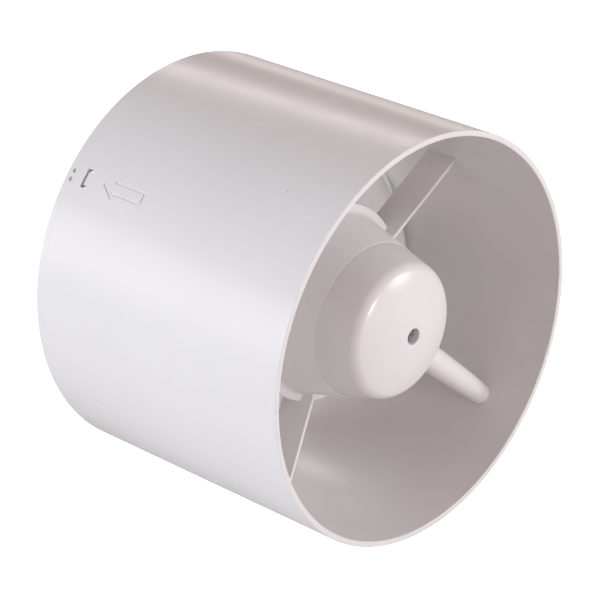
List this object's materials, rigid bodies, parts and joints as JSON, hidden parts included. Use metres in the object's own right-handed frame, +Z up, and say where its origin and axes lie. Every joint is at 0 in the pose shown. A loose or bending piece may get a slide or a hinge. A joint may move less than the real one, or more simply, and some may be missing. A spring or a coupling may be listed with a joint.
{
  "type": "bathroom extractor fan",
  "caption": "In-line axial extractor fan for a round duct: open white tube, motor pod on radial vanes, cable conduit, bladed impeller behind, airflow arrow on the outside.",
  "frame": {"origin": "centre of the duct tube, on its axis, halfway between its two rims", "axes": "+Y along the duct in the direction of the air, from the intake end with the domed cap to the outlet end; +Z up; +X to the right seen from the intake"},
  "size_m": [0.15, 0.117, 0.15],
  "materials": {
    "shell_white": "gloss moulded white ABS",
    "impeller_white": "gloss moulded white ABS",
    "tray_plastic": "moulded",
    "terminal_plastic": "moulded",
    "terminal_brass": "machined",
    "zinc_screw": "zinc plated",
    "shaft_steel": "ground",
    "lamination_steel": "punched laminations",
    "cast_aluminium": "die cast",
    "bobbin_nylon": "moulded nylon",
    "enamelled_copper": "enamelled copper wire",
    "sintered_bronze": "oil-filled sinter",
    "oiled_felt": "oiled felt",
    "soft_rubber": "soft rubber",
    "lead_sleeve": "PVC sleeve",
    "cutout_case": "moulded"
  },
  "bodies": {
    "housing": {"duct_tube": "shell_white", "rear_ring": "shell_white", "motor_carrier": "shell_white", "motor_cap": "shell_white", "cable_conduit": "shell_white", "terminal_tray": "tray_plastic", "cord_clamp": "tray_plastic", "terminal_block": "terminal_plastic", "terminal_inserts": "terminal_brass", "cap_screw": "zinc_screw", "clamp_screws": "zinc_screw", "tray_screws": "zinc_screw", "terminal_screws": "zinc_screw", "motor_bolts": "zinc_screw", "mounting_screws": "zinc_screw", "bush_retainers": "zinc_screw", "stator_core": "lamination_steel", "front_bracket": "cast_aluminium", "rear_bracket": "cast_aluminium", "coil_bobbins": "bobbin_nylon", "stator_coils": "enamelled_copper", "shading_rings": "enamelled_copper", "front_bush": "sintered_bronze", "rear_bush": "sintered_bronze", "felt_rings": "oiled_felt", "mounting_grommets": "soft_rubber", "motor_leads": "lead_sleeve", "thermal_cutout": "cutout_case"},
    "rotor": {"rotor_shaft": "shaft_steel", "drive_pin": "shaft_steel", "rotor_core": "lamination_steel", "rotor_end_rings": "cast_aluminium", "thrust_washers": "bobbin_nylon", "impeller": "impeller_white", "impeller_nut": "shaft_steel"}
  },
  "joints": [
    {"name": "impeller_spin", "type": "hinge", "parent": "housing", "child": "rotor", "pos_m": [0, 0, 0], "axis": [0, 1, 0], "continuous": true}
  ]
}
